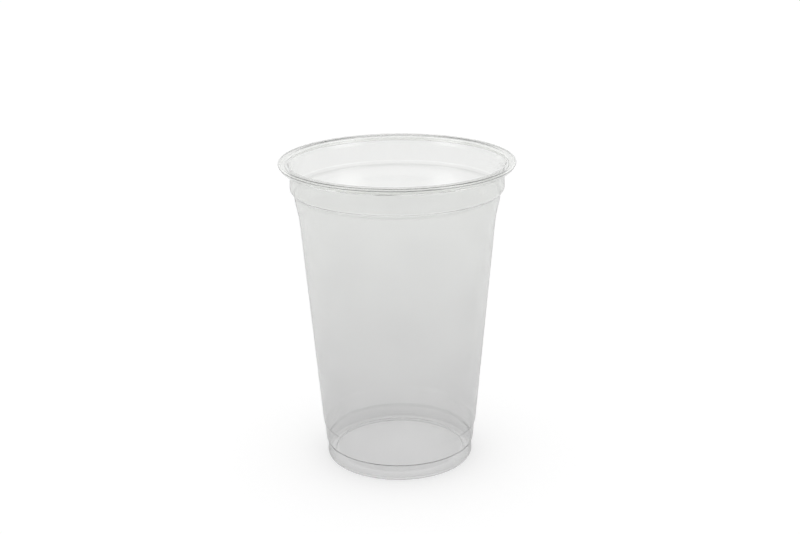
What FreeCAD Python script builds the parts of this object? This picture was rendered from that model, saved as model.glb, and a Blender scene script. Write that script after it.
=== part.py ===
"""Clear plastic disposable cup, thermoformed from one thin sheet.

The whole cup is one sheet of even thickness, so the model is one line and one wall.
The line is the sheet's outer face, drawn from the middle of the floor, round the foot,
up the side and into the rolled rim. It is thickened by the wall and turned about the axis.

Millimetres, +Z up, origin at the centre of the ring that the cup stands on.
"""

import FreeCAD, Part
import math
import os
import Sketcher

V = FreeCAD.Vector
START = 1
END = 2
ROOT_POINT = (-1, 1)

# Driving dimensions: alias, millimetres, what it is
SIZES = [
    ("cup_height", 127.0, "table to the top of the rolled rim"),
    ("rim_radius", 47.5, "outside of the rolled rim"),
    ("wall", 0.3, "thickness of the sheet"),
    ("floor_lift", 1.9, "underside of the floor above the table"),
    ("floor_radius", 26.4, "edge of the flat floor"),
    ("floor_round", 0.7, "rounding of that edge"),
    ("stand_slope", 1.3, "how far the floor's edge runs out on its way down"),
    ("stand_round", 0.15, "inner side of the ring that the cup stands on, inside the sheet"),
    ("heel_radius", 30.7, "outside of the foot at the table"),
    ("heel_round", 0.95, "outer side of the ring that the cup stands on, inside the sheet"),
    ("waist_cut", 0.25, "hollow of the foot's side"),
    ("waist_height", 3.0, "table to that hollow"),
    ("waist_round", 6.0, "rounding of that hollow"),
    ("ledge_height", 6.5, "table to the stacking ledge"),
    ("ledge_width", 0.65, "how far the ledge steps out"),
    ("ledge_rise", 0.5, "height of the ledge's slope"),
    ("ledge_round", 0.15, "rounding of the ledge's corners, on their tight side"),
    ("band_height", 6.5, "smooth band above the ledge"),
    ("band_flare", 0.5, "how far the band opens over its height"),
    ("step_width", 0.6, "step from the band out to the side"),
    ("step_rise", 1.7, "height of that step"),
    ("step_round", 0.6, "rounding of the step's corners, on their tight side"),
    ("flare_drop", 6.4, "height of the shoulder's flare"),
    ("flare_width", 1.5, "how far that flare closes towards the side"),
    ("flare_round", 40.0, "rounding from the side into the flare"),
    ("shoulder_drop", 3.2, "height of the shoulder's upper part"),
    ("shoulder_width", 0.25, "how far that part closes"),
    ("shoulder_round", 25.0, "rounding from the flare into the shoulder"),
    ("seat_drop", 1.4, "height of the slope between neck and shoulder"),
    ("seat_width", 1.5, "how far that slope goes in"),
    ("seat_foot_round", 1.5, "rounding where that slope leaves the shoulder"),
    ("seat_round", 0.7, "rounding where it meets the neck, on its tight side"),
    ("neck_depth", 11.2, "rim's top down to the neck's lower corner"),
    ("rim_overhang", 4.45, "rim's outside past the neck"),
    ("groove_cut", 0.12, "lid groove under the rim"),
    ("groove_depth", 6.0, "rim's top down to that groove"),
    ("groove_round", 6.0, "rounding of that groove"),
    ("lip_depth", 3.5, "rim's top down to where the neck's lip leans out"),
    ("lip_lean", 0.9, "how far the lip leans out below the crest"),
    ("lip_round", 2.6, "rounding where the lip starts"),
    ("crest_round", 0.8, "rounding of the crest's inner side, inside the roll"),
    ("curl_height", 2.66, "rolled rim, top to bottom"),
    ("curl_round", 0.4, "upper outer turn of the roll, inside it"),
    ("curl_flat", 0.08, "upright stretch on the roll's outside"),
    ("curl_lean", 1.1, "how far the roll leans in below that stretch"),
    ("lean_round", 0.15, "rounding where it starts to lean in, inside the roll"),
    ("under_round", 0.3, "lower outer turn of the roll, inside it"),
    ("tail_inset", 2.75, "rim's outside in to the sheet's rolled end"),
    ("tail_round", 0.6, "last turn of the roll, inside it"),
    ("tail_end", 0.2, "straight end of the sheet past that turn"),
]

# Radii and heights that several corners share
WAIST = "heel_radius - waist_cut"
BAND = WAIST + " + ledge_width"
BAND_FOOT = "ledge_height + ledge_rise"
BAND_TOP = BAND_FOOT + " + band_height"
NECK = "rim_radius - rim_overhang"
SHOULDER = NECK + " - seat_width"
SHOULDER_TOP = "cup_height - neck_depth - seat_drop"
GROOVE = NECK + " - groove_cut"
# On the rim the sheet's outer face is the inside of the roll, a wall in from its outside
CREST = "cup_height - wall"
CURL = "rim_radius - wall"
CURL_BOTTOM = "cup_height - curl_height + wall"
TAIL = "rim_radius - tail_inset"

# The sheet's outer face, corner by corner: name, radius, height, rounding
FIRST_POINT = ("floor_centre", "0", "floor_lift")
CORNERS = [
    ("floor_edge", "floor_radius", "floor_lift", "floor_round"),
    ("stand", "floor_radius + stand_slope", "0", "stand_round + wall"),
    ("heel", "heel_radius", "0", "heel_round + wall"),
    ("waist", WAIST, "waist_height", "waist_round"),
    ("ledge_under", WAIST, "ledge_height", "ledge_round"),
    ("ledge_top", BAND, BAND_FOOT, "ledge_round + wall"),
    ("band_top", BAND + " + band_flare", BAND_TOP, "step_round"),
    ("side_foot", BAND + " + band_flare + step_width", BAND_TOP + " + step_rise", "step_round + wall"),
    (
        "side_top",
        SHOULDER + " - shoulder_width - flare_width",
        SHOULDER_TOP + " - shoulder_drop - flare_drop",
        "flare_round",
    ),
    ("flare_top", SHOULDER + " - shoulder_width", SHOULDER_TOP + " - shoulder_drop", "shoulder_round"),
    ("shoulder_top", SHOULDER, SHOULDER_TOP, "seat_foot_round"),
    ("neck_foot", NECK, "cup_height - neck_depth", "seat_round + wall"),
    ("groove", GROOVE, "cup_height - groove_depth", "groove_round"),
    ("lip", GROOVE, "cup_height - lip_depth", "lip_round"),
    ("crest", GROOVE + " + lip_lean", CREST, "crest_round"),
    ("curl_top", CURL, CREST, "curl_round"),
    ("curl_side", CURL, CREST + " - curl_round - curl_flat", "lean_round"),
    ("curl_bottom", CURL + " - curl_lean", CURL_BOTTOM, "under_round"),
    ("tail", TAIL, CURL_BOTTOM, "tail_round"),
]
LAST_POINT = ("sheet_end", TAIL, CURL_BOTTOM + " + tail_round + tail_end")


def size_sheet(doc):
    """Writes the driving dimensions into a spreadsheet, one row each, with an alias."""
    sheet = doc.addObject("Spreadsheet::Sheet", "Sizes")
    for row, (alias, value, note) in enumerate(SIZES, start=1):
        sheet.set("A%d" % row, note)
        sheet.set("B%d" % row, str(value))
        sheet.setAlias("B%d" % row, alias)
    doc.recompute()
    return sheet


def bound(formula):
    """Gives a formula of driving dimensions as an expression that other objects can use."""
    names = {alias for alias, value, note in SIZES}
    return " ".join("Sizes." + word if word in names else word for word in formula.split())


class Outline:
    """A chain of straight lines with rounded corners, every size of it bound to the sheet."""

    def __init__(self, sketch):
        self.sketch = sketch

    def value(self, formula):
        """Works a formula out with the sheet's present numbers."""
        return float(self.sketch.evalExpression(bound(formula)))

    def place(self, item, radius, height, name):
        """Holds a point at its radius and height. item is the geometry's index and its point."""
        for kind, formula in (("DistanceX", radius), ("DistanceY", height)):
            if formula == "0":
                axis = "Vertical" if kind == "DistanceX" else "Horizontal"
                self.sketch.addConstraint(Sketcher.Constraint(axis, *ROOT_POINT, *item))
                continue
            size = self.value(formula)
            index = self.sketch.addConstraint(Sketcher.Constraint(kind, *ROOT_POINT, *item, size))
            label = name + ("_radius" if kind == "DistanceX" else "_height")
            self.sketch.renameConstraint(index, label)
            self.sketch.setExpression("Constraints." + label, bound(formula))

    def draw(self, first, corners, last):
        """Draws the chain.

        Args:
            first: name, radius and height of the first point.
            corners: name, radius, height and rounding of each corner, as formulas.
            last: name, radius and height of the last point.
        """
        points = [first] + corners + [last]
        place = [V(self.value(point[1]), self.value(point[2]), 0) for point in points]
        rounds = [self.value(corner[3]) for corner in corners]
        arcs = [rounding(*place[i:i + 3], rounds[i]) for i in range(len(corners))]
        start = [place[0]] + [arc["leave"] for arc in arcs]
        end = [arc["meet"] for arc in arcs] + [place[-1]]
        lines = [self.sketch.addGeometry(Part.LineSegment(a, b)) for a, b in zip(start, end)]
        self.place((lines[0], START), first[1], first[2], first[0])
        self.place((lines[-1], END), last[1], last[2], last[0])
        for i, (name, radius, height, formula) in enumerate(corners):
            before, after, arc = lines[i], lines[i + 1], arcs[i]
            curve = self.sketch.addGeometry(arc["curve"])
            corner = self.sketch.addGeometry(Part.Point(place[i + 1]), True)
            near, far = (START, END) if arc["left"] else (END, START)
            self.sketch.addConstraint([
                Sketcher.Constraint("Tangent", before, END, curve, near),
                Sketcher.Constraint("Tangent", after, START, curve, far),
                Sketcher.Constraint("PointOnObject", corner, 1, before),
                Sketcher.Constraint("PointOnObject", corner, 1, after),
            ])
            self.place((corner, 1), radius, height, name)
            index = self.sketch.addConstraint(Sketcher.Constraint("Radius", curve, rounds[i]))
            self.sketch.renameConstraint(index, name + "_round")
            self.sketch.setExpression("Constraints." + name + "_round", bound(formula))


def rounding(before, corner, after, radius):
    """Works out the arc that rounds a corner.

    Args:
        before, corner, after: three points of the chain.
        radius: the arc's radius.

    Returns:
        The arc as "curve", where it meets and leaves its lines, and whether it turns left.
    """
    into = (corner - before).normalize()
    out = (after - corner).normalize()
    turn = math.atan2(into.x * out.y - into.y * out.x, into.dot(out))
    reach = radius * math.tan(abs(turn) / 2)
    meet = corner - into * reach
    leave = corner + out * reach
    side = 1 if turn > 0 else -1
    centre = meet + V(-into.y, into.x, 0) * radius * side
    first, second = (meet, leave) if turn > 0 else (leave, meet)
    angles = [math.atan2(point.y - centre.y, point.x - centre.x) for point in (first, second)]
    if angles[1] < angles[0]:
        angles[1] += 2 * math.pi
    curve = Part.ArcOfCircle(Part.Circle(centre, V(0, 0, 1), radius), *angles)
    return {"curve": curve, "meet": meet, "leave": leave, "left": turn > 0}


def formed_cup(doc):
    """Builds the cup: the sheet's line, the wall on its inner side, and the turn about Z."""
    line = doc.addObject("Sketcher::SketchObject", "SheetLine")
    line.Label = "Outer face of the sheet"
    line.Placement = FreeCAD.Placement(V(0, 0, 0), FreeCAD.Rotation(V(1, 0, 0), 90))
    Outline(line).draw(FIRST_POINT, CORNERS, LAST_POINT)

    section = doc.addObject("Part::Offset2D", "Section")
    section.Label = "Section of the sheet"
    section.Source = line
    section.Mode = "Skin"
    section.Join = "Arc"
    section.Fill = True
    section.setExpression("Value", bound("wall"))

    cup = doc.addObject("Part::Revolution", "Cup")
    cup.Label = "cup"
    cup.Source = section
    cup.Axis = V(0, 0, 1)
    cup.Base = V(0, 0, 0)
    cup.Angle = 360
    cup.Solid = True
    return cup


def check(doc, parts):
    """Raises an error if an object failed or a part isn't one valid solid.

    Args:
        doc: the document.
        parts: the objects that are written out.
    """
    for item in doc.Objects:
        if "Invalid" in item.State or "Error" in item.State:
            raise RuntimeError("%s failed: %s" % (item.Label, item.State))
    for part in parts:
        shape = part.Shape
        if shape.isNull() or not shape.isValid() or len(shape.Solids) != 1:
            raise RuntimeError("%s isn't one valid solid" % part.Label)


def main():
    doc = FreeCAD.newDocument("DisposableCup")
    size_sheet(doc)
    parts = [formed_cup(doc)]
    doc.recompute()
    check(doc, parts)
    os.makedirs("parts", exist_ok=True)
    for part in parts:
        part.Shape.exportStep("parts/%s.step" % part.Label)
        box = part.Shape.optimalBoundingBox(False)
        print("%s: %.0f mm3, %.2f x %.2f x %.2f mm" % (
            part.Label, part.Shape.Volume, box.XLength, box.YLength, box.ZLength))


main()
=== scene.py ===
"""Looks of a clear plastic disposable cup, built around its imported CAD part.

The cup is one thin sheet, so it is one mesh: a chain of straight stretches and rounded
corners, thickened by the wall and turned about the axis. Each region of the cup gives its own
stretch of the chain and its own finish. Metres, +Z up, the cup stands on z = 0.
"""

import enum
import logging
import math
from dataclasses import dataclass, field
from typing import Iterable, NamedTuple

import bmesh
import bpy
from mathutils import Matrix, Vector

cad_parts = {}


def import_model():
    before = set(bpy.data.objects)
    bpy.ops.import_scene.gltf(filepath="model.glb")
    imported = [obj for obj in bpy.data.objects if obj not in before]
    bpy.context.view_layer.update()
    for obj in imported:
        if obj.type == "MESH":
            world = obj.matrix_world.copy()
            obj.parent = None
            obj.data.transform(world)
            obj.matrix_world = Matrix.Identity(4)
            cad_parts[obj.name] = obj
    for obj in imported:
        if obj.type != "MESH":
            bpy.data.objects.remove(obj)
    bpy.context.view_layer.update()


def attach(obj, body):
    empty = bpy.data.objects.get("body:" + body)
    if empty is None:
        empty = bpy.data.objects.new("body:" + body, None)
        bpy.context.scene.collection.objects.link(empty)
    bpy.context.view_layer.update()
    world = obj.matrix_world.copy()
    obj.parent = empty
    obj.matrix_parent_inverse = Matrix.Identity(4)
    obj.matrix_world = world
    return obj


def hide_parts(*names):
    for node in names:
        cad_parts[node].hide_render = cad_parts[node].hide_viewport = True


LOG = logging.getLogger("cup")

CUP_NODE = "cup"
ROOT_BODY = "root"

MM = 0.001
WALL = 0.3 * MM
CUP_HEIGHT = 127.0 * MM
WALL_BOUNCES = 24
MIRROR_BOUNCES = 8


class Zone(enum.IntEnum):
    """Region of the sheet. The number is the index of its material on the mesh.

    Attributes:
        FLOOR: recessed floor.
        FOOT: hollow wall of the foot, under the ledge.
        SIDE: band over the ledge, step and tapered side up to the shoulder.
        NECK: slope out to the neck, lid groove and lip.
        RIM: crest and inside of the roll.
        FOLD: bends of the stacking ledge.
        RING: ring that the cup stands on.
        BEND: bend at the rim's widest place.
        UNDER: underside of the roll.
        SEAT: step out to the neck, on which a lid's skirt ends.
        CREASE: bend where that step begins.
        HEEL: bend from the ring to the foot's wall.
    """

    FLOOR = 0
    FOOT = 1
    SIDE = 2
    NECK = 3
    RIM = 4
    FOLD = 5
    RING = 6
    BEND = 7
    UNDER = 8
    SEAT = 9
    CREASE = 10
    HEEL = 11


class Corner(NamedTuple):
    """Corner of the sheet's outer face, where its two straight stretches would meet.

    A corner without rounding is a mark on one straight stretch, where a region ends.

    Attributes:
        radius, height: its place.
        rounding: radius of the arc that rounds it.
        zone: region of that arc.
        lead: region of the stretch that leads to it.
    """

    radius: float
    height: float
    rounding: float
    zone: Zone
    lead: Zone


class Station(NamedTuple):
    """Place on a face of the sheet, with the unit normal that points out of the sheet.

    Attributes:
        radius, height: its place.
        normal_radius, normal_height: the normal.
        zone: region of the band from here to the next station.
    """

    radius: float
    height: float
    normal_radius: float
    normal_height: float
    zone: Zone


# Geometry of the sheet, region by region


@dataclass(frozen=True)
class Foot:
    """Floor, the ring that the cup stands on, and the hollow foot up to its ledge.

    All radii are of the outer face. The waist is where the foot is hollow, by waist_cut, and
    the fold's finish begins fold_reach under the ledge's bend.
    """

    floor_lift: float = 1.9 * MM
    floor_radius: float = 26.4 * MM
    floor_round: float = 0.7 * MM
    stand_slope: float = 1.3 * MM
    stand_round: float = 0.15 * MM
    heel_radius: float = 30.7 * MM
    heel_round: float = 0.95 * MM
    waist_cut: float = 0.25 * MM
    waist_height: float = 3.0 * MM
    waist_round: float = 6.0 * MM
    ledge_height: float = 6.5 * MM
    ledge_width: float = 0.65 * MM
    ledge_rise: float = 0.5 * MM
    ledge_round: float = 0.15 * MM
    fold_reach: float = 0.35 * MM

    @property
    def waist_radius(self) -> float:
        """Outside of the foot at its hollow."""
        return self.heel_radius - self.waist_cut

    @property
    def top_radius(self) -> float:
        """Outside of the cup just above the ledge."""
        return self.waist_radius + self.ledge_width

    @property
    def top_height(self) -> float:
        """Height of the ledge's outer corner."""
        return self.ledge_height + self.ledge_rise

    def corners(self) -> list[Corner]:
        """Lists the foot's corners.

        Returns:
            Corners from the floor's edge to the ledge.
        """
        fold_start = self.ledge_height - self.ledge_round - self.fold_reach
        return [
            Corner(self.floor_radius, self.floor_lift, self.floor_round, Zone.RING, Zone.FLOOR),
            Corner(self.floor_radius + self.stand_slope, 0.0, self.stand_round + WALL,
                   Zone.RING, Zone.RING),
            Corner(self.heel_radius, 0.0, self.heel_round + WALL, Zone.HEEL, Zone.RING),
            Corner(self.waist_radius, self.waist_height, self.waist_round, Zone.FOOT, Zone.FOOT),
            Corner(self.waist_radius, fold_start, 0.0, Zone.FOLD, Zone.FOOT),
            Corner(self.waist_radius, self.ledge_height, self.ledge_round, Zone.FOLD, Zone.FOLD),
            Corner(self.top_radius, self.top_height, self.ledge_round + WALL,
                   Zone.FOLD, Zone.FOLD),
        ]


@dataclass(frozen=True)
class Side:
    """Smooth band over the ledge, the step, and the long tapered side up to the shoulder."""

    foot: Foot
    shoulder_radius: float = 41.55 * MM
    shoulder_height: float = 114.4 * MM
    band_height: float = 6.5 * MM
    band_flare: float = 0.5 * MM
    step_width: float = 0.6 * MM
    step_rise: float = 1.7 * MM
    step_round: float = 0.6 * MM
    flare_drop: float = 6.4 * MM
    flare_width: float = 1.5 * MM
    flare_round: float = 40.0 * MM
    shoulder_drop: float = 3.2 * MM
    shoulder_width: float = 0.25 * MM
    shoulder_round: float = 25.0 * MM

    def corners(self) -> list[Corner]:
        """Lists the side's corners.

        Returns:
            Corners from the band's top to the start of the shoulder.
        """
        band_radius = self.foot.top_radius + self.band_flare
        band_top = self.foot.top_height + self.band_height
        flare_radius = self.shoulder_radius - self.shoulder_width
        flare_height = self.shoulder_height - self.shoulder_drop
        return [
            Corner(band_radius, band_top, self.step_round, Zone.SIDE, Zone.SIDE),
            Corner(band_radius + self.step_width, band_top + self.step_rise,
                   self.step_round + WALL, Zone.SIDE, Zone.SIDE),
            Corner(flare_radius - self.flare_width, flare_height - self.flare_drop,
                   self.flare_round, Zone.SIDE, Zone.SIDE),
            Corner(flare_radius, flare_height, self.shoulder_round, Zone.SIDE, Zone.SIDE),
        ]


@dataclass(frozen=True)
class Neck:
    """Slope from the shoulder out to the neck, and the lid groove under the rim."""

    neck_radius: float = 43.05 * MM
    neck_depth: float = 11.2 * MM
    seat_drop: float = 1.4 * MM
    seat_width: float = 1.5 * MM
    seat_foot_round: float = 1.5 * MM
    seat_round: float = 0.7 * MM
    groove_cut: float = 0.12 * MM
    groove_depth: float = 6.0 * MM
    groove_round: float = 6.0 * MM

    @property
    def groove_radius(self) -> float:
        """Outside of the neck at the lid groove."""
        return self.neck_radius - self.groove_cut

    def corners(self) -> list[Corner]:
        """Lists the neck's corners.

        Returns:
            Corners from the shoulder to the groove.
        """
        foot_height = CUP_HEIGHT - self.neck_depth
        return [
            Corner(self.neck_radius - self.seat_width, foot_height - self.seat_drop,
                   self.seat_foot_round, Zone.CREASE, Zone.NECK),
            Corner(self.neck_radius, foot_height, self.seat_round + WALL, Zone.SEAT, Zone.SEAT),
            Corner(self.groove_radius, CUP_HEIGHT - self.groove_depth,
                   self.groove_round, Zone.NECK, Zone.NECK),
        ]


@dataclass(frozen=True)
class Rim:
    """Lip that leans out of the groove, and the rolled rim. Its line is the roll's inside.

    The sheet turns down at the crest's edge, leans in by curl_lean and turns up into the tail.
    The bend's finish reaches over the share bend_reach of that lean.
    """

    neck: Neck
    rim_radius: float = 47.5 * MM
    lip_depth: float = 3.5 * MM
    lip_lean: float = 0.9 * MM
    lip_round: float = 2.6 * MM
    crest_round: float = 0.8 * MM
    curl_height: float = 2.66 * MM
    curl_round: float = 0.4 * MM
    curl_flat: float = 0.08 * MM
    curl_lean: float = 1.1 * MM
    lean_round: float = 0.15 * MM
    under_round: float = 0.3 * MM
    bend_reach: float = 0.12
    tail_inset: float = 2.75 * MM
    tail_round: float = 0.6 * MM
    tail_end: float = 0.2 * MM

    @property
    def bottom(self) -> float:
        """Height of the roll's inside at its bottom."""
        return CUP_HEIGHT - self.curl_height + WALL

    @property
    def tail_radius(self) -> float:
        """Radius at which the sheet's rolled end stands."""
        return self.rim_radius - self.tail_inset

    @property
    def end_height(self) -> float:
        """Height of the sheet's end."""
        return self.bottom + self.tail_round + self.tail_end

    def corners(self) -> list[Corner]:
        """Lists the rim's corners.

        Returns:
            Corners from the lip to the sheet's last turn.
        """
        groove = self.neck.groove_radius
        crest = CUP_HEIGHT - WALL
        curl = self.rim_radius - WALL
        side = crest - self.curl_round - self.curl_flat
        bend_end = (curl - self.curl_lean * self.bend_reach,
                    side - (side - self.bottom) * self.bend_reach)
        return [
            Corner(groove, CUP_HEIGHT - self.lip_depth, self.lip_round, Zone.NECK, Zone.NECK),
            Corner(groove + self.lip_lean, crest, self.crest_round, Zone.RIM, Zone.NECK),
            Corner(curl, crest, self.curl_round, Zone.RIM, Zone.RIM),
            Corner(curl, side, self.lean_round, Zone.BEND, Zone.BEND),
            Corner(*bend_end, 0.0, Zone.BEND, Zone.BEND),
            Corner(curl - self.curl_lean, self.bottom, self.under_round, Zone.UNDER, Zone.RIM),
            Corner(self.tail_radius, self.bottom, self.tail_round, Zone.RIM, Zone.UNDER),
        ]


@dataclass(frozen=True)
class SheetLine:
    """The sheet's outer face as one line of straight stretches and round corners.

    Attributes:
        start: radius and height of the first point, on the axis.
        end: radius and height of the sheet's end.
        corners: the corners between them.
        arc_step: largest turn between two stations of an arc, in degrees.
        run_step: largest distance between two stations of a straight stretch.
    """

    start: tuple[float, float]
    end: tuple[float, float]
    corners: tuple[Corner, ...]
    arc_step: float = 7.0
    run_step: float = 4.0 * MM

    def stations(self) -> list[Station]:
        """Walks the line.

        Returns:
            Stations in order, each with the face's normal, so that a tight bend and a long
            straight stretch both shade as the true surface does.
        """
        points = [Vector(self.start)] + [Vector(c[:2]) for c in self.corners] + [Vector(self.end)]
        walked: list[Station] = []
        leave = points[0]
        for index, corner in enumerate(self.corners):
            before, at, after = points[index:index + 3]
            into = (at - before).normalized()
            out = (after - at).normalized()
            turn = math.atan2(into.x * out.y - into.y * out.x, into.dot(out))
            reach = corner.rounding * math.tan(abs(turn) / 2.0)
            meet = at - into * reach
            walked += self._run(leave, meet, corner.lead)
            walked += self._arc(meet, into, turn, corner)
            leave = at + out * reach
        walked += self._run(leave, points[-1], self.corners[-1].zone, closed=True)
        return walked

    def _run(self, start: Vector, end: Vector, zone: Zone, closed: bool = False) -> list[Station]:
        """Walks a straight stretch.

        Args:
            start: first point.
            end: last point.
            zone: region that the stretch belongs to.
            closed: whether the last point is given too.

        Returns:
            The stretch's stations. Without closed the last point is left to the next arc.
        """
        along = end - start
        count = max(1, math.ceil(along.length / self.run_step))
        normal = Vector((along.y, -along.x)).normalized()
        points = [start + along * (step / count) for step in range(count + closed)]
        return [Station(*point, *normal, zone) for point in points]

    def _arc(self, meet: Vector, into: Vector, turn: float, corner: Corner) -> list[Station]:
        """Walks a round corner.

        Args:
            meet: where the arc begins.
            into: direction of the stretch before it.
            turn: angle that the line turns by, positive to the left.
            corner: the corner that the arc rounds.

        Returns:
            The arc's stations, its first point among them and its last one left out. A mark
            has none, because the next stretch begins at the same place.
        """
        if corner.rounding == 0.0:
            return []
        side = math.copysign(1.0, turn)
        centre = meet + Vector((-into.y, into.x)) * corner.rounding * side
        count = max(2, math.ceil(math.degrees(abs(turn)) / self.arc_step))
        walked = []
        for step in range(count):
            heading = into.copy()
            heading.rotate(Matrix.Rotation(turn * step / count, 2))
            normal = Vector((heading.y, -heading.x))
            point = centre + normal * corner.rounding * side
            walked.append(Station(*point, *normal, corner.zone))
        return walked


@dataclass
class Cup:
    """The whole cup, one thermoformed sheet.

    Attributes:
        foot, side, neck, rim: its regions, from the table up.
        segments: columns of faces round the axis.
    """

    foot: Foot = field(default_factory=Foot)
    neck: Neck = field(default_factory=Neck)
    segments: int = 264
    side: Side = field(init=False)
    rim: Rim = field(init=False)

    def __post_init__(self) -> None:
        """Makes the regions that stand on others."""
        self.side = Side(self.foot)
        self.rim = Rim(self.neck)

    def line(self) -> SheetLine:
        """Joins the regions' corners.

        Returns:
            The line from the middle of the floor to the sheet's end inside the roll.
        """
        corners: list[Corner] = []
        for region in (self.foot, self.side, self.neck, self.rim):
            corners += region.corners()
        start = (0.0, self.foot.floor_lift)
        end = (self.rim.tail_radius, self.rim.end_height)
        return SheetLine(start, end, tuple(corners))

    def section(self) -> list[Station]:
        """Thickens the line by the wall.

        Returns:
            Stations of the outer face, then of the inner face on the way back. Each inner
            band has the region of the outer band that it lies behind.
        """
        outer = self.line().stations()
        inner = [
            Station(
                max(0.0, at.radius - at.normal_radius * WALL),
                at.height - at.normal_height * WALL,
                -at.normal_radius,
                -at.normal_height,
                below.zone,
            )
            for at, below in zip(reversed(outer), reversed(outer[:1] + outer[:-1]))
        ]
        return outer + inner

    def mesh(self) -> bpy.types.Mesh:
        """Turns the section about the axis.

        Returns:
            A closed mesh with a normal for each vertex, faces numbered by their zone.
        """
        section = self.section()
        turned = bmesh.new()
        normals: list[Vector] = []
        rings: list[list[bmesh.types.BMVert]] = []
        for at in section:
            columns = 1 if at.radius == 0.0 else self.segments
            ring = []
            for column in range(columns):
                angle = 2.0 * math.pi * column / self.segments
                cosine, sine = math.cos(angle), math.sin(angle)
                ring.append(turned.verts.new((at.radius * cosine, at.radius * sine, at.height)))
                normals.append(
                    Vector((at.normal_radius * cosine, at.normal_radius * sine, at.normal_height))
                )
            rings.append(ring)
        for at, low, high in zip(section, rings, rings[1:]):
            self._band(turned, low, high, at.zone)
        mesh = bpy.data.meshes.new("clear_cup")
        turned.to_mesh(mesh)
        turned.free()
        mesh.shade_smooth()
        mesh.normals_split_custom_set_from_vertices(normals)
        return mesh

    def _band(self, turned: bmesh.types.BMesh, low: list[bmesh.types.BMVert],
              high: list[bmesh.types.BMVert], zone: Zone) -> None:
        """Joins two rings of vertices by one band of faces.

        Args:
            turned: the mesh in the making.
            low: first ring, one vertex where it lies on the axis.
            high: second ring, the same.
            zone: region that the faces get.
        """
        for column in range(self.segments):
            after = (column + 1) % self.segments
            corners = [low[column % len(low)], low[after % len(low)],
                       high[after % len(high)], high[column % len(high)]]
            face = turned.faces.new(list(dict.fromkeys(corners)))
            face.material_index = int(zone)

    def dress(self, cup: bpy.types.Object) -> None:
        """Gives each region of the cup its finish."""
        for zone in Zone:
            cup.data.materials.append(FINISHES[zone].material())

    def build(self) -> bpy.types.Object:
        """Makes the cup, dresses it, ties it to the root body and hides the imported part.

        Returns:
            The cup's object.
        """
        cup = bpy.data.objects.new("clear_cup", self.mesh())
        bpy.context.scene.collection.objects.link(cup)
        self.dress(cup)
        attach(cup, ROOT_BODY)
        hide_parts(CUP_NODE)
        return cup


# Finishes


def grey(share: float) -> tuple[float, float, float, float]:
    """Gives an even grey as a colour for a socket."""
    return (share, share, share, 1.0)


class Tree:
    """Small helper that adds nodes to a node tree and joins them."""

    def __init__(self, tree: bpy.types.NodeTree) -> None:
        """Keeps the tree, emptied."""
        self.tree = tree
        tree.nodes.clear()

    def node(self, kind: str, **settings: object) -> bpy.types.Node:
        """Adds a node.

        Args:
            kind: the node's type.
            settings: its properties.

        Returns:
            The node.
        """
        made = self.tree.nodes.new(kind)
        for name, value in settings.items():
            setattr(made, name, value)
        return made

    def join(self, source: bpy.types.NodeSocket, target: bpy.types.NodeSocket) -> None:
        """Joins an output to an input."""
        self.tree.links.new(source, target)

    def feed(self, target: bpy.types.NodeSocket, value: object) -> None:
        """Joins a socket to the target, or sets the target to a plain value.

        Args:
            target: input that is fed.
            value: the socket or the value.
        """
        if isinstance(value, bpy.types.NodeSocket):
            self.join(value, target)
        else:
            target.default_value = value

    def math(self, operation: str, *values: object) -> bpy.types.NodeSocket:
        """Adds a Math node.

        Args:
            operation: what it does.
            values: what goes into it, sockets or numbers.

        Returns:
            Its output.
        """
        made = self.node("ShaderNodeMath", operation=operation)
        for socket, value in zip(made.inputs, values):
            self.feed(socket, value)
        return made.outputs[0]

    def ramp(self, value: object, low: object, high: object, at_low: float,
             at_high: float, even: bool = False) -> bpy.types.NodeSocket:
        """Maps a value from one range to another.

        Args:
            value: what is mapped.
            low, high: the range that it is read in.
            at_low, at_high: what comes out at its two ends.
            even: whether it rises evenly and not with soft ends.

        Returns:
            The mapped value, clamped at both ends.
        """
        kind = "LINEAR" if even else "SMOOTHSTEP"
        made = self.node("ShaderNodeMapRange", interpolation_type=kind)
        for name, part in (("Value", value), ("From Min", low), ("From Max", high),
                           ("To Min", at_low), ("To Max", at_high)):
            self.feed(made.inputs[name], part)
        return made.outputs["Result"]

    def mix(self, factor: object, first: object, second: object) -> bpy.types.NodeSocket:
        """Mixes two shaders.

        Args:
            factor: share of the second.
            first, second: the shaders.

        Returns:
            The mixed shader.
        """
        made = self.node("ShaderNodeMixShader")
        for socket, part in zip(made.inputs, (factor, first, second)):
            self.feed(socket, part)
        return made.outputs["Shader"]

    def blend(self, factor: object, first: object, second: object) -> bpy.types.NodeSocket:
        """Mixes two colours.

        Args:
            factor: share of the second.
            first, second: the colours.

        Returns:
            The mixed colour.
        """
        made = self.node("ShaderNodeMix", data_type="RGBA")
        self.feed(made.inputs["Factor"], factor)
        self.feed(made.inputs["A"], first)
        self.feed(made.inputs["B"], second)
        return made.outputs["Result"]

    def noise(self, place: bpy.types.NodeSocket, scale: float,
              detail: float) -> bpy.types.NodeSocket:
        """Adds an even noise.

        Args:
            place: where the noise is read.
            scale: its fineness.
            detail: how many finer layers it has.

        Returns:
            The noise as a number.
        """
        made = self.node("ShaderNodeTexNoise")
        self.join(place, made.inputs["Vector"])
        made.inputs["Scale"].default_value = scale
        made.inputs["Detail"].default_value = detail
        return made.outputs["Fac"]


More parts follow.
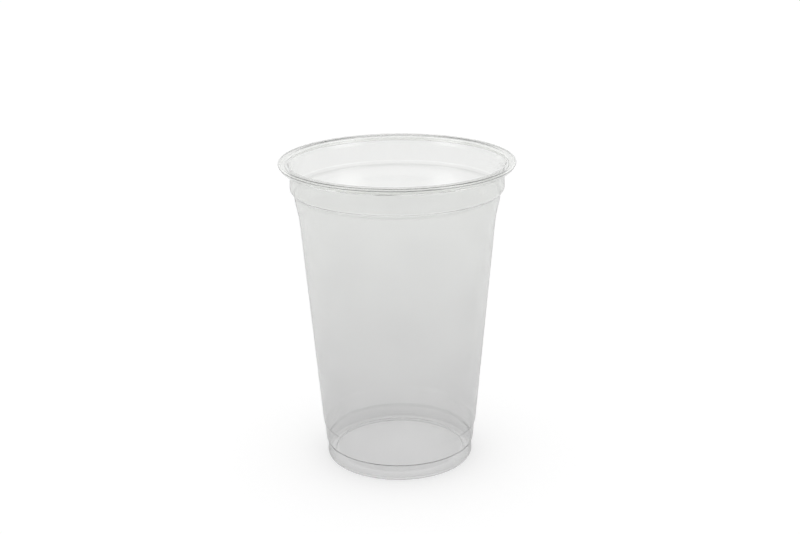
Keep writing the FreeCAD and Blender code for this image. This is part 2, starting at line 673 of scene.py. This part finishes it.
class SheetGroup:
    """Shader node group of what forming leaves in a clear sheet.

    Its grey deepens from the zone's top to its bottom: the sheet's own faint grey with painted
    shade over it, standing in for the darker surroundings seen through the lower cup. Draw lines
    run up the side, slow waves cross them, and fine scuffs sit where cups rub in a stack.
    """

    NAME = "FormedSheet"
    DRAW_LINE_COUNT = 90.0
    DRAW_LINE_STRETCH = 6.0
    DRAW_LINE_DETAIL = 3.0
    WAVE_SCALE = 38.0
    WAVE_DETAIL = 1.0
    WAVE_RANGE = (0.3, 0.7)
    UNEVENNESS = 0.08
    SCUFF_SCALE = 900.0
    SCUFF_DETAIL = 4.0
    SCUFF_RANGE = (0.45, 0.75)

    @classmethod
    def get(cls) -> bpy.types.NodeTree:
        """Builds the group on its first use."""
        return bpy.data.node_groups.get(cls.NAME) or cls._build()

    @classmethod
    def _build(cls) -> bpy.types.NodeTree:
        """Builds the group's sockets and nodes.

        Returns:
            The group, which puts out Tint, Roughness and the Height for a bump.
        """
        tree = bpy.data.node_groups.new(cls.NAME, "ShaderNodeTree")
        sockets = tree.interface
        for name, kind in (("Grey And Shade High", "NodeSocketColor"), ("Grey And Shade Low", "NodeSocketColor"),
                           ("Low Height", "NodeSocketFloat"), ("High Height", "NodeSocketFloat"),
                           ("Gloss", "NodeSocketFloat"), ("Scuff", "NodeSocketFloat"),
                           ("Draw Lines", "NodeSocketFloat")):
            sockets.new_socket(name, in_out="INPUT", socket_type=kind)
        for name, kind in (("Tint", "NodeSocketColor"), ("Roughness", "NodeSocketFloat"),
                           ("Height", "NodeSocketFloat")):
            sockets.new_socket(name, in_out="OUTPUT", socket_type=kind)
        work = Tree(tree)
        given = work.node("NodeGroupInput").outputs
        place = work.node("ShaderNodeTexCoord").outputs["Object"]
        axes = work.node("ShaderNodeSeparateXYZ")
        work.join(place, axes.inputs[0])
        angle = work.math("ARCTAN2", axes.outputs["Y"], axes.outputs["X"])

        streaks = work.node("ShaderNodeCombineXYZ")
        work.feed(streaks.inputs["X"], work.math("COSINE", angle))
        work.feed(streaks.inputs["Y"], work.math("SINE", angle))
        work.feed(streaks.inputs["Z"],
                  work.math("MULTIPLY", axes.outputs["Z"], cls.DRAW_LINE_STRETCH))
        lines = work.noise(streaks.outputs[0], cls.DRAW_LINE_COUNT / (2.0 * math.pi),
                           cls.DRAW_LINE_DETAIL)
        waves = work.noise(place, cls.WAVE_SCALE, cls.WAVE_DETAIL)
        scuffs = work.noise(place, cls.SCUFF_SCALE, cls.SCUFF_DETAIL)

        # Painted shade: the grey lightens from the zone's bottom to its top, standing in for the
        # darker surroundings seen through the lower cup.
        depth = work.ramp(axes.outputs["Z"], given["Low Height"], given["High Height"], 0.0, 1.0,
                          even=True)
        uneven = work.ramp(waves, *cls.WAVE_RANGE, -cls.UNEVENNESS, cls.UNEVENNESS)
        grey_and_shade = work.blend(work.math("ADD", depth, uneven), given["Grey And Shade Low"], given["Grey And Shade High"])
        rubbed = work.math("MULTIPLY", work.ramp(scuffs, *cls.SCUFF_RANGE, 0.0, 1.0),
                           given["Scuff"])
        pulled = work.math("MULTIPLY", lines, given["Draw Lines"])
        give = work.node("NodeGroupOutput").inputs
        work.feed(give["Tint"], grey_and_shade)
        work.feed(give["Roughness"], work.math("ADD", given["Gloss"], rubbed))
        work.feed(give["Height"], work.math("ADD", pulled, waves))
        return tree


@dataclass(frozen=True)
class ClearSheet:
    """Finish of clear plastic sheet in one zone of the cup. Its two greys are the sheet's own
    faint grey with painted shade over it, deeper towards the bottom and at folds and bends.

    Attributes:
        name: the material's name.
        grey_and_shade_high: share of light that one wall passes at the zone's top.
        grey_and_shade_low: the same at its bottom.
        low, high: heights of the zone's bottom and top.
        gloss: roughness of the clean sheet.
        scuff: roughness that rubbing in a stack adds.
        draw_lines: strength of the lines that forming pulls up the sheet.
        waviness: height of the sheet's slow waves.
        shade_high: share of light that one face lets through to the shadow, at the top.
        shade_low: the same at the bottom.
        refraction: refractive index. Tight bends take less than the sheet, so that the dark
            lines that they draw stay as fine as on a thin cup.
    """

    name: str
    grey_and_shade_high: tuple[float, float, float]
    grey_and_shade_low: tuple[float, float, float]
    low: float
    high: float
    gloss: float = 0.03
    scuff: float = 0.02
    draw_lines: float = 0.6
    waviness: float = 0.02 * MM
    shade_high: float = 0.96
    shade_low: float = 0.96
    refraction: float = 1.45

    def material(self) -> bpy.types.Material:
        """Builds the material.

        Returns:
            Clear plastic to the eye, and a lighter veil to shadows and scattered light.
        """
        material = bpy.data.materials.new(self.name)
        material.use_nodes = True
        work = Tree(material.node_tree)
        rays = work.node("ShaderNodeLightPath").outputs
        veiled = work.math("MAXIMUM", rays["Is Shadow Ray"], rays["Is Diffuse Ray"])
        either = work.mix(veiled, self._plastic(work), self._veil(work))
        work.join(either, work.node("ShaderNodeOutputMaterial").inputs["Surface"])
        return material

    def _plastic(self, work: Tree) -> bpy.types.NodeSocket:
        """Adds the clear plastic.

        Args:
            work: the tree that the nodes go into.

        Returns:
            Its shader.
        """
        sheet = work.node("ShaderNodeGroup", node_tree=SheetGroup.get())
        values = (("Grey And Shade High", (*self.grey_and_shade_high, 1.0)), ("Grey And Shade Low", (*self.grey_and_shade_low, 1.0)),
                  ("Low Height", self.low), ("High Height", self.high), ("Gloss", self.gloss),
                  ("Scuff", self.scuff), ("Draw Lines", self.draw_lines))
        for name, value in values:
            sheet.inputs[name].default_value = value
        bump = work.node("ShaderNodeBump")
        bump.inputs["Distance"].default_value = self.waviness
        work.join(sheet.outputs["Height"], bump.inputs["Height"])
        plastic = work.node("ShaderNodeBsdfPrincipled")
        plastic.inputs["Transmission Weight"].default_value = 1.0
        plastic.inputs["IOR"].default_value = self.refraction
        plastic.inputs["Metallic"].default_value = 0.0
        # Base colour: the sheet's own faint grey with painted shade over it.
        work.join(sheet.outputs["Tint"], plastic.inputs["Base Color"])
        work.join(sheet.outputs["Roughness"], plastic.inputs["Roughness"])
        work.join(bump.outputs["Normal"], plastic.inputs["Normal"])
        return plastic.outputs["BSDF"]

    def _veil(self, work: Tree) -> bpy.types.NodeSocket:
        """Adds what the sheet lets through to its shadow.

        Args:
            work: the tree that the nodes go into.

        Returns:
            Its shader. A share that is the same all over is set on the shader itself.
        """
        veil = work.node("ShaderNodeBsdfTransparent")
        if self.shade_low == self.shade_high:
            veil.inputs["Color"].default_value = grey(self.shade_low)
        else:
            place = work.node("ShaderNodeSeparateXYZ")
            work.join(work.node("ShaderNodeTexCoord").outputs["Object"], place.inputs[0])
            work.join(work.ramp(place.outputs["Z"], self.low, self.high, self.shade_low,
                                self.shade_high, even=True), veil.inputs["Color"])
        return veil.outputs["BSDF"]


# Each zone's greys: the sheet's own faint grey with painted shade over it, deeper towards the
# bottom of the cup and darker still at the folds and bends marked below.
FINISHES: dict[Zone, ClearSheet] = {
    Zone.FLOOR: ClearSheet("clear_floor", (0.91, 0.91, 0.91), (0.89, 0.89, 0.89),
                           0.0, 3.0 * MM, gloss=0.05, draw_lines=0.0,
                           shade_high=0.985, shade_low=0.975, refraction=1.12),
    Zone.FOOT: ClearSheet("clear_foot", (0.755, 0.755, 0.755), (0.7, 0.7, 0.7),
                          0.0, 7.0 * MM, gloss=0.06, scuff=0.1,
                          shade_high=0.61, shade_low=0.59),
    Zone.SIDE: ClearSheet("clear_side", (0.857, 0.862, 0.853), (0.753, 0.753, 0.753),
                          14.0 * MM, 112.0 * MM, shade_high=0.97, shade_low=0.84),
    Zone.NECK: ClearSheet("clear_neck", (0.833, 0.838, 0.828), (0.843, 0.848, 0.838),
                          113.0 * MM, 123.0 * MM),
    Zone.RIM: ClearSheet("clear_rim", (0.98, 0.985, 0.975), (0.97, 0.975, 0.965),
                         123.0 * MM, 127.0 * MM, gloss=0.01, scuff=0.01, draw_lines=0.0,
                         waviness=0.002 * MM, shade_high=0.905, shade_low=0.895),
    # Painted shade: the ledge's folds are set darker, to draw their dark lines.
    Zone.FOLD: ClearSheet("clear_fold", (0.715, 0.715, 0.715), (0.705, 0.705, 0.705),
                          6.0 * MM, 7.5 * MM, gloss=0.12, scuff=0.1,
                          shade_high=0.805, shade_low=0.795, refraction=1.3),
    Zone.RING: ClearSheet("clear_ring", (0.99, 0.99, 0.99), (0.98, 0.98, 0.98),
                          0.0, 1.5 * MM, gloss=0.1, scuff=0.1, draw_lines=0.0,
                          shade_high=0.975, shade_low=0.965, refraction=1.12),
    # Painted shade: the bend from the ring to the foot's wall is set darker, to draw its outline.
    Zone.HEEL: ClearSheet("clear_heel", (0.84, 0.84, 0.84), (0.82, 0.82, 0.82),
                          0.0, 1.5 * MM, gloss=0.1, scuff=0.1, draw_lines=0.0,
                          shade_high=0.975, shade_low=0.965, refraction=1.12),
    # Painted shade: the rim's widest bend is set far darker, to draw the dark line along the rim.
    Zone.BEND: ClearSheet("clear_bend", (0.455, 0.455, 0.455), (0.445, 0.445, 0.445),
                          125.0 * MM, 127.0 * MM, gloss=0.01, scuff=0.01, draw_lines=0.0,
                          waviness=0.002 * MM, shade_high=0.905, shade_low=0.895),
    Zone.UNDER: ClearSheet("clear_under", (0.99, 0.995, 0.985), (0.98, 0.985, 0.975),
                           124.0 * MM, 127.0 * MM, gloss=0.05, scuff=0.01, draw_lines=0.0,
                           waviness=0.002 * MM, shade_high=0.905, shade_low=0.895,
                           refraction=1.19),
    Zone.SEAT: ClearSheet("clear_seat", (0.895, 0.9, 0.89), (0.885, 0.89, 0.88),
                          113.0 * MM, 117.0 * MM, gloss=0.06, scuff=0.05),
    # Painted shade: the bend where the seat begins is set darker, to draw its line.
    Zone.CREASE: ClearSheet("clear_crease", (0.8, 0.805, 0.795), (0.79, 0.795, 0.785),
                            113.0 * MM, 117.0 * MM, gloss=0.08, scuff=0.05),
}


# Studio


@dataclass(frozen=True)
class StudioFloor:
    """Plain pale floor, which shows white to the camera and keeps the cup's shadow.

    Attributes:
        radius: how far the floor reaches.
        sides: corners of its round edge.
        gap: how far it lies under the cup.
        paint: its colour.
        glow: light that makes up for what the paint takes, for the eye only.
    """

    radius: float = 3.0
    sides: int = 96
    gap: float = 0.02 * MM
    paint: float = 0.85
    glow: float = 0.29

    def build(self) -> bpy.types.Object:
        """Builds the floor's disc and its material.

        Returns:
            The floor's object.
        """
        disc = bmesh.new()
        bmesh.ops.create_circle(disc, cap_ends=True, cap_tris=False, segments=self.sides,
                                radius=self.radius)
        mesh = bpy.data.meshes.new("studio_floor")
        disc.to_mesh(mesh)
        disc.free()
        mesh.materials.append(self._material())
        floor = bpy.data.objects.new("studio_floor", mesh)
        floor.location.z = -self.gap
        bpy.context.scene.collection.objects.link(floor)
        return floor

    def _material(self) -> bpy.types.Material:
        """Builds the floor's paint.

        Returns:
            The material. The glow is for straight rays and rays through clear plastic, and
            mirrored rays see the plain paint.
        """
        material = bpy.data.materials.new("studio_floor")
        material.use_nodes = True
        work = Tree(material.node_tree)
        paint = work.node("ShaderNodeBsdfDiffuse")
        paint.inputs["Color"].default_value = grey(self.paint)
        rays = work.node("ShaderNodeLightPath").outputs
        seen = work.math("MAXIMUM", rays["Is Camera Ray"], rays["Is Transmission Ray"])
        glow = work.node("ShaderNodeEmission")
        work.join(work.math("MULTIPLY", seen, self.glow), glow.inputs["Strength"])
        both = work.node("ShaderNodeAddShader")
        work.join(paint.outputs[0], both.inputs[0])
        work.join(glow.outputs[0], both.inputs[1])
        work.join(both.outputs[0], work.node("ShaderNodeOutputMaterial").inputs["Surface"])
        return material


@dataclass(frozen=True)
class SoftBox:
    """Large soft lamp, brightest in its middle, that the plastic mirrors.

    Attributes:
        name: the lamp's name.
        place: its middle.
        target: the point that it faces.
        width, height: its size.
        power: its light in watts, before its edges fade.
        fade_across, fade_along: shares of its width and height over which it fades.
    """

    name: str
    place: tuple[float, float, float]
    target: tuple[float, float, float]
    width: float
    height: float
    power: float
    fade_across: float = 0.45
    fade_along: float = 0.3

    def build(self) -> bpy.types.Object:
        """Builds the lamp.

        Returns:
            The lamp's object.
        """
        lamp = bpy.data.lights.new(self.name, "AREA")
        lamp.shape = "RECTANGLE"
        lamp.size = self.width
        lamp.size_y = self.height
        lamp.energy = self.power
        lamp.use_nodes = True
        work = Tree(lamp.node_tree)
        place = work.node("ShaderNodeSeparateXYZ")
        work.join(work.node("ShaderNodeNewGeometry").outputs["Parametric"], place.inputs[0])
        across = work.math("PINGPONG", place.outputs["X"], 0.5)
        along = work.math("PINGPONG", place.outputs["Y"], 0.5)
        fade = work.math("MULTIPLY", work.ramp(across, 0.0, self.fade_across, 0.0, 1.0),
                         work.ramp(along, 0.0, self.fade_along, 0.0, 1.0))
        light = work.node("ShaderNodeEmission")
        work.join(fade, light.inputs["Strength"])
        work.join(light.outputs[0], work.node("ShaderNodeOutputLight").inputs["Surface"])
        made = bpy.data.objects.new(self.name, lamp)
        made.location = self.place
        made.visible_camera = False
        made.visible_diffuse = False
        aim = Vector(self.target) - Vector(self.place)
        made.rotation_euler = aim.to_track_quat("-Z", "Y").to_euler()
        bpy.context.scene.collection.objects.link(made)
        return made


@dataclass(frozen=True)
class Studio:
    """World, lamps and floor.

    Attributes:
        fill: even light of the room on surfaces that scatter.
        seen: how bright the backdrop looks to the eye, white at 1.
        mirrored: how bright the room looks in a mirror.
        ceiling: how bright the room looks over the backdrop, through clear plastic.
        backdrop_top, ceiling_start: elevations in degrees where the backdrop begins to darken
            and where the ceiling's darkness is reached.
        overhead: light of the wide lamp over the cup.
        overhead_angle: how wide that lamp looks from the cup, in degrees.
    """

    fill: float = 0.36
    seen: float = 1.0
    mirrored: float = 0.32
    ceiling: float = 0.04
    backdrop_top: float = 10.0
    ceiling_start: float = 46.0
    overhead: float = 1.57
    overhead_angle: float = 30.0
    floor: StudioFloor = field(default_factory=StudioFloor)
    boxes: tuple[SoftBox, ...] = (
        SoftBox("right_box", (0.466, -0.260, 0.375), (0.0, 0.0, 0.375), 0.60, 0.75, 1.9),
        SoftBox("left_box", (-0.466, -0.260, 0.375), (0.0, 0.0, 0.375), 0.60, 0.75, 1.9),
    )

    def build(self) -> None:
        """Builds the world, the lamps and the floor."""
        self._room()
        self._overhead_lamp()
        for box in self.boxes:
            box.build()
        self.floor.build()

    def _room(self) -> None:
        """Builds the world: white backdrop, dim ceiling and an even fill."""
        world = bpy.data.worlds.new("studio")
        bpy.context.scene.world = world
        world.use_nodes = True
        work = Tree(world.node_tree)
        light = work.node("ShaderNodeBackground")
        light.inputs["Color"].default_value = grey(1.0)
        place = work.node("ShaderNodeSeparateXYZ")
        work.join(work.node("ShaderNodeTexCoord").outputs["Generated"], place.inputs[0])
        backdrop = work.ramp(place.outputs["Z"], math.sin(math.radians(self.backdrop_top)),
                             math.sin(math.radians(self.ceiling_start)), self.seen, self.ceiling)
        rays = work.node("ShaderNodeLightPath").outputs
        through = work.math("MULTIPLY", rays["Is Transmission Ray"], backdrop)
        mirror = work.math("MULTIPLY", rays["Is Glossy Ray"],
                           work.math("MULTIPLY", backdrop, self.mirrored))
        straight = work.math("MULTIPLY", rays["Is Camera Ray"], self.seen)
        spread = work.math("MULTIPLY", rays["Is Diffuse Ray"], self.fill)
        strength = work.math("ADD", work.math("ADD", through, mirror),
                             work.math("ADD", straight, spread))
        work.join(strength, light.inputs["Strength"])
        work.join(light.outputs[0], work.node("ShaderNodeOutputWorld").inputs["Surface"])

    def _overhead_lamp(self) -> None:
        """Builds the wide lamp over the cup. It lights the floor and isn't mirrored."""
        lamp = bpy.data.lights.new("overhead", "SUN")
        lamp.energy = self.overhead
        lamp.angle = math.radians(self.overhead_angle)
        made = bpy.data.objects.new("overhead", lamp)
        made.visible_glossy = False
        made.visible_transmission = False
        bpy.context.scene.collection.objects.link(made)


@dataclass(frozen=True)
class Viewpoint:
    """Camera of the photograph.

    Attributes:
        place: where the camera stands.
        pitch: how far it looks down, in degrees.
        roll: how far it leans to its right, in degrees.
        lens, sensor: focal length and sensor width in millimetres.
        near, far: distances between which it sees.
    """

    place: tuple[float, float, float] = (0.8 * MM, -517.0 * MM, 251.88 * MM)
    pitch: float = 18.23
    roll: float = 0.59
    lens: float = 59.805
    sensor: float = 36.0
    near: float = 0.01
    far: float = 20.0

    def build(self) -> bpy.types.Object:
        """Builds the camera and makes it the scene's own.

        Returns:
            The camera's object.
        """
        lens = bpy.data.cameras.new("viewpoint")
        lens.lens = self.lens
        lens.sensor_width = self.sensor
        lens.clip_start = self.near
        lens.clip_end = self.far
        camera = bpy.data.objects.new("viewpoint", lens)
        tilt = Matrix.Rotation(math.radians(90.0 - self.pitch), 4, "X")
        lean = Matrix.Rotation(math.radians(-self.roll), 4, "Z")
        camera.matrix_world = Matrix.Translation(self.place) @ tilt @ lean
        bpy.context.scene.collection.objects.link(camera)
        bpy.context.scene.camera = camera
        return camera


def set_light_paths() -> None:
    """Lets light pass every wall of the cup, and keeps the view's colours plain."""
    scene = bpy.context.scene
    scene.view_settings.view_transform = "Standard"
    scene.cycles.max_bounces = WALL_BOUNCES
    scene.cycles.transmission_bounces = WALL_BOUNCES
    scene.cycles.glossy_bounces = MIRROR_BOUNCES
    scene.cycles.transparent_max_bounces = WALL_BOUNCES
    scene.cycles.use_denoising = True


def main() -> None:
    """Builds the cup and its studio."""
    logging.basicConfig(level=logging.INFO, format="%(name)s: %(message)s")
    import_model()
    Viewpoint().build()
    Studio().build()
    cup = Cup().build()
    LOG.info("%s: %d faces, %d finishes", cup.name, len(cup.data.polygons),
             len(cup.data.materials))
    set_light_paths()


if __name__ == "__main__":
    main()
